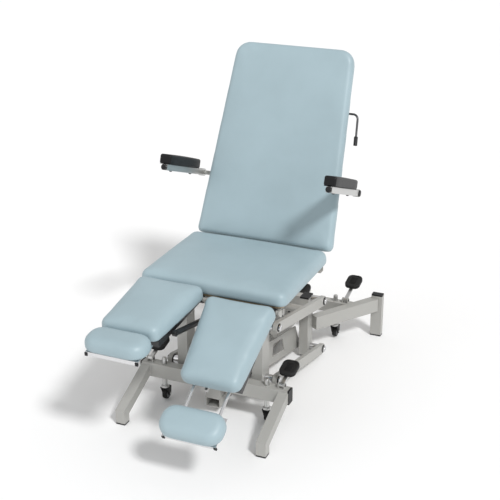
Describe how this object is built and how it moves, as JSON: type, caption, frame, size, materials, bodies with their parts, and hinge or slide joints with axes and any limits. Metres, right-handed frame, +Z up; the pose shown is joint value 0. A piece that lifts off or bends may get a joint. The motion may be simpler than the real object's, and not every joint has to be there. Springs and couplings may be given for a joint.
{
  "type": "podiatry examination chair",
  "caption": "Medical examination chair with a reclining back, split leg sections with sliding foot rests, armrests, and a parallel-arm pedal-pumped lift on retractable castors.",
  "frame": {"origin": "on the floor at the middle of the chair's length and width", "axes": "+Z up, +Y towards the back of the chair, +X towards the patient's left"},
  "size_m": [0.83, 1.558, 1.3255],
  "materials": {
    "frame_paint": "satin pale grey powder coat",
    "upholstery": "soft blue-grey vinyl",
    "bright_steel": "polished steel",
    "zinc_steel": "zinc plated",
    "black_plastic": "moulded black",
    "black_rubber": "moulded rubber",
    "black_paint": "black powder coat",
    "arm_vinyl": "black vinyl",
    "board": "plain plywood"
  },
  "bodies": {
    "base": {"front_crossbar": "frame_paint", "front_legs": "frame_paint", "spine_rail": "frame_paint", "rear_crossbar": "frame_paint", "rear_uprights": "frame_paint", "rear_legs": "frame_paint", "plastic_caps": "black_plastic", "pump_block": "zinc_steel"},
    "pump_pedal": {"pump_pedal": "black_rubber"},
    "pedal_front_left": {"pedal_front_left": "black_rubber"},
    "castor_stem_front_left": {"castor_stem_front_left": "zinc_steel"},
    "castor_yoke_front_left": {"castor_yoke_front_left": "black_plastic"},
    "castor_wheel_front_left": {"castor_wheel_front_left": "black_rubber"},
    "pedal_front_right": {"pedal_front_right": "black_rubber"},
    "castor_stem_front_right": {"castor_stem_front_right": "zinc_steel"},
    "castor_yoke_front_right": {"castor_yoke_front_right": "black_plastic"},
    "castor_wheel_front_right": {"castor_wheel_front_right": "black_rubber"},
    "pedal_rear_left": {"pedal_rear_left": "black_rubber"},
    "castor_stem_rear_left": {"castor_stem_rear_left": "zinc_steel"},
    "castor_yoke_rear_left": {"castor_yoke_rear_left": "black_plastic"},
    "castor_wheel_rear_left": {"castor_wheel_rear_left": "black_rubber"},
    "pedal_rear_right": {"pedal_rear_right": "black_rubber"},
    "castor_stem_rear_right": {"castor_stem_rear_right": "zinc_steel"},
    "castor_yoke_rear_right": {"castor_yoke_rear_right": "black_plastic"},
    "castor_wheel_rear_right": {"castor_wheel_rear_right": "black_rubber"},
    "lower_arm": {"lower_arm_frame": "frame_paint", "lower_arm_pins": "bright_steel"},
    "upper_arm": {"upper_arm_frame": "frame_paint", "upper_arm_pins": "bright_steel"},
    "ram_cylinder": {"ram_cylinder": "black_paint"},
    "ram_rod": {"ram_rod": "bright_steel"},
    "carriage": {"carriage_uprights": "frame_paint", "seat_frame": "frame_paint", "seat_board": "board", "seat_cushion": "upholstery"},
    "backrest": {"backrest_frame": "frame_paint", "backrest_board": "board", "backrest_cushion": "upholstery"},
    "backrest_strut_tube": {"backrest_strut_tube": "black_paint"},
    "backrest_strut_rod": {"backrest_strut_rod": "bright_steel"},
    "recline_lever": {"recline_lever": "bright_steel"},
    "armrest_left": {"armrest_bar_left": "zinc_steel", "armrest_pad_left": "arm_vinyl"},
    "leg_left": {"leg_frame_left": "black_paint", "leg_cushion_left": "upholstery"},
    "leg_strut_tube_left": {"leg_strut_tube_left": "black_paint"},
    "leg_strut_rod_left": {"leg_strut_rod_left": "bright_steel"},
    "foot_rest_left": {"foot_rest_frame_left": "bright_steel", "foot_rest_cushion_left": "upholstery"},
    "foot_rest_knob_left": {"foot_rest_knob_left": "zinc_steel"},
    "armrest_right": {"armrest_bar_right": "zinc_steel", "armrest_pad_right": "arm_vinyl"},
    "leg_right": {"leg_frame_right": "black_paint", "leg_cushion_right": "upholstery"},
    "leg_strut_tube_right": {"leg_strut_tube_right": "black_paint"},
    "leg_strut_rod_right": {"leg_strut_rod_right": "bright_steel"},
    "foot_rest_right": {"foot_rest_frame_right": "bright_steel", "foot_rest_cushion_right": "upholstery"},
    "foot_rest_knob_right": {"foot_rest_knob_right": "zinc_steel"}
  },
  "joints": [
    {"name": "lift", "type": "hinge", "parent": "base", "child": "lower_arm", "pos_m": [0, 0.40786, 0.04], "axis": [-1, 0, 0], "range_deg": [-12, 43]},
    {"name": "carriage_level", "type": "hinge", "parent": "lower_arm", "child": "carriage", "pos_m": [0, -0.12523, 0.15331], "axis": [-1, 0, 0], "range_deg": [-43, 12]},
    {"name": "upper_arm_swing", "type": "hinge", "parent": "base", "child": "upper_arm", "pos_m": [0, 0.40786, 0.271], "axis": [-1, 0, 0], "range_deg": [-12, 43]},
    {"name": "ram_swing", "type": "hinge", "parent": "base", "child": "ram_cylinder", "pos_m": [0, 0.34014, 0.08494], "axis": [-1, 0, 0], "range_deg": [-6, 21.5]},
    {"name": "ram_rod_swing", "type": "hinge", "parent": "upper_arm", "child": "ram_rod", "pos_m": [0, 0.21419, 0.31217], "axis": [-1, 0, 0], "range_deg": [-21.5, 6]},
    {"name": "pump_pedal_press", "type": "hinge", "parent": "base", "child": "pump_pedal", "pos_m": [0.043, 0.51486, 0.104], "axis": [-1, 0, 0], "range_deg": [0, 15], "stiffness_Nm_per_rad": 8, "springref_deg": -20.05},
    {"name": "pedal_press_front_left", "type": "hinge", "parent": "base", "child": "pedal_front_left", "pos_m": [0.287, -0.20614, 0.183], "axis": [-1, 0, 0], "range_deg": [0, 30]},
    {"name": "castor_lift_front_left", "type": "slide", "parent": "base", "child": "castor_stem_front_left", "axis": [0, 0, -1], "range_m": [0, 0.022]},
    {"name": "castor_swivel_front_left", "type": "hinge", "parent": "castor_stem_front_left", "child": "castor_yoke_front_left", "pos_m": [0.225, -0.20614, 0.06], "axis": [0, 0, 1], "continuous": true},
    {"name": "wheel_spin_front_left", "type": "hinge", "parent": "castor_yoke_front_left", "child": "castor_wheel_front_left", "pos_m": [0.225, -0.19414, 0.029], "axis": [1, 0, 0], "continuous": true},
    {"name": "pedal_press_front_right", "type": "hinge", "parent": "base", "child": "pedal_front_right", "pos_m": [-0.287, -0.20614, 0.183], "axis": [-1, 0, 0], "range_deg": [0, 30]},
    {"name": "castor_lift_front_right", "type": "slide", "parent": "base", "child": "castor_stem_front_right", "axis": [0, 0, -1], "range_m": [0, 0.022]},
    {"name": "castor_swivel_front_right", "type": "hinge", "parent": "castor_stem_front_right", "child": "castor_yoke_front_right", "pos_m": [-0.225, -0.20614, 0.06], "axis": [0, 0, 1], "continuous": true},
    {"name": "wheel_spin_front_right", "type": "hinge", "parent": "castor_yoke_front_right", "child": "castor_wheel_front_right", "pos_m": [-0.225, -0.19414, 0.029], "axis": [1, 0, 0], "continuous": true},
    {"name": "pedal_press_rear_left", "type": "hinge", "parent": "base", "child": "pedal_rear_left", "pos_m": [0.272, 0.60586, 0.199], "axis": [-1, 0, 0], "range_deg": [0, 30]},
    {"name": "castor_lift_rear_left", "type": "slide", "parent": "base", "child": "castor_stem_rear_left", "axis": [0, 0, -1], "range_m": [0, 0.022]},
    {"name": "castor_swivel_rear_left", "type": "hinge", "parent": "castor_stem_rear_left", "child": "castor_yoke_rear_left", "pos_m": [0.225, 0.60586, 0.06], "axis": [0, 0, 1], "continuous": true},
    {"name": "wheel_spin_rear_left", "type": "hinge", "parent": "castor_yoke_rear_left", "child": "castor_wheel_rear_left", "pos_m": [0.225, 0.61786, 0.029], "axis": [1, 0, 0], "continuous": true},
    {"name": "pedal_press_rear_right", "type": "hinge", "parent": "base", "child": "pedal_rear_right", "pos_m": [-0.272, 0.60586, 0.199], "axis": [-1, 0, 0], "range_deg": [0, 30]},
    {"name": "castor_lift_rear_right", "type": "slide", "parent": "base", "child": "castor_stem_rear_right", "axis": [0, 0, -1], "range_m": [0, 0.022]},
    {"name": "castor_swivel_rear_right", "type": "hinge", "parent": "castor_stem_rear_right", "child": "castor_yoke_rear_right", "pos_m": [-0.225, 0.60586, 0.06], "axis": [0, 0, 1], "continuous": true},
    {"name": "wheel_spin_rear_right", "type": "hinge", "parent": "castor_yoke_rear_right", "child": "castor_wheel_rear_right", "pos_m": [-0.225, 0.61786, 0.029], "axis": [1, 0, 0], "continuous": true},
    {"name": "recline", "type": "hinge", "parent": "carriage", "child": "backrest", "pos_m": [0, 0.32486, 0.51], "axis": [-1, 0, 0], "range_deg": [-8, 65]},
    {"name": "backrest_strut_swing", "type": "hinge", "parent": "carriage", "child": "backrest_strut_tube", "pos_m": [0.08, 0.37662, 0.31681], "axis": [-1, 0, 0], "range_deg": [-4, 32.5]},
    {"name": "backrest_rod_swing", "type": "hinge", "parent": "backrest", "child": "backrest_strut_rod", "pos_m": [0.08, 0.40938, 0.69126], "axis": [-1, 0, 0], "range_deg": [-32.5, 4]},
    {"name": "recline_lever_pull", "type": "hinge", "parent": "backrest", "child": "recline_lever", "pos_m": [0.23, 0.58169, 1.06551], "axis": [1, 0, 0], "range_deg": [0, 25], "stiffness_Nm_per_rad": 2, "springref_deg": -11.46},
    {"name": "armrest_raise_left", "type": "hinge", "parent": "backrest", "child": "armrest_left", "pos_m": [0.355, 0.44615, 0.77011], "axis": [-1, 0, 0], "range_deg": [0, 95]},
    {"name": "leg_tilt_left", "type": "hinge", "parent": "carriage", "child": "leg_left", "pos_m": [0.151, -0.24214, 0.506], "axis": [1, 0, 0], "range_deg": [-32, 23]},
    {"name": "leg_rod_swing_left", "type": "hinge", "parent": "carriage", "child": "leg_strut_rod_left", "pos_m": [0.02, -0.01697, 0.376], "axis": [1, 0, 0], "range_deg": [-16, 11.5]},
    {"name": "leg_strut_swing_left", "type": "hinge", "parent": "leg_left", "child": "leg_strut_tube_left", "pos_m": [0.02, -0.46263, 0.36822], "axis": [1, 0, 0], "range_deg": [-11.5, 16]},
    {"name": "foot_rest_pull_left", "type": "slide", "parent": "leg_left", "child": "foot_rest_left", "axis": [0, -0.848, -0.5299], "range_m": [-0.09, 0.03]},
    {"name": "foot_rest_clamp_left", "type": "hinge", "parent": "leg_left", "child": "foot_rest_knob_left", "pos_m": [0.121, -0.52793, 0.31798], "axis": [0, -0.5299, 0.848], "range_deg": [-45, 90]},
    {"name": "armrest_raise_right", "type": "hinge", "parent": "backrest", "child": "armrest_right", "pos_m": [-0.355, 0.44615, 0.77011], "axis": [-1, 0, 0], "range_deg": [0, 95]},
    {"name": "leg_tilt_right", "type": "hinge", "parent": "carriage", "child": "leg_right", "pos_m": [-0.151, -0.24214, 0.506], "axis": [1, 0, 0], "range_deg": [-5.5, 49.5]},
    {"name": "leg_rod_swing_right", "type": "hinge", "parent": "carriage", "child": "leg_strut_rod_right", "pos_m": [-0.02, -0.01697, 0.376], "axis": [1, 0, 0], "range_deg": [-2.75, 24.75]},
    {"name": "leg_strut_swing_right", "type": "hinge", "parent": "leg_right", "child": "leg_strut_tube_right", "pos_m": [-0.02, -0.50094, 0.48108], "axis": [1, 0, 0], "range_deg": [-24.75, 2.75]},
    {"name": "foot_rest_pull_right", "type": "slide", "parent": "leg_right", "child": "foot_rest_right", "axis": [0, -0.9954, -0.0958], "range_m": [0, 0.12]},
    {"name": "foot_rest_clamp_right", "type": "hinge", "parent": "leg_right", "child": "foot_rest_knob_right", "pos_m": [-0.121, -0.5818, 0.46526], "axis": [0, -0.0958, 0.9954], "range_deg": [-45, 90]}
  ],
  "couplings": [
    {"joint": "carriage_level", "follows": "lift", "ratio": -1},
    {"joint": "upper_arm_swing", "follows": "lift", "ratio": 1},
    {"joint": "ram_swing", "follows": "lift", "ratio": 0.5},
    {"joint": "ram_rod_swing", "follows": "lift", "ratio": -0.5},
    {"joint": "castor_lift_front_left", "follows": "pedal_press_front_left", "m_per_rad": 0.042},
    {"joint": "castor_lift_front_right", "follows": "pedal_press_front_right", "m_per_rad": 0.042},
    {"joint": "castor_lift_rear_left", "follows": "pedal_press_rear_left", "m_per_rad": 0.042},
    {"joint": "castor_lift_rear_right", "follows": "pedal_press_rear_right", "m_per_rad": 0.042},
    {"joint": "backrest_strut_swing", "follows": "recline", "ratio": 0.5},
    {"joint": "backrest_rod_swing", "follows": "recline", "ratio": -0.5},
    {"joint": "leg_rod_swing_left", "follows": "leg_tilt_left", "ratio": 0.5},
    {"joint": "leg_strut_swing_left", "follows": "leg_tilt_left", "ratio": -0.5},
    {"joint": "leg_rod_swing_right", "follows": "leg_tilt_right", "ratio": 0.5},
    {"joint": "leg_strut_swing_right", "follows": "leg_tilt_right", "ratio": -0.5}
  ]
}
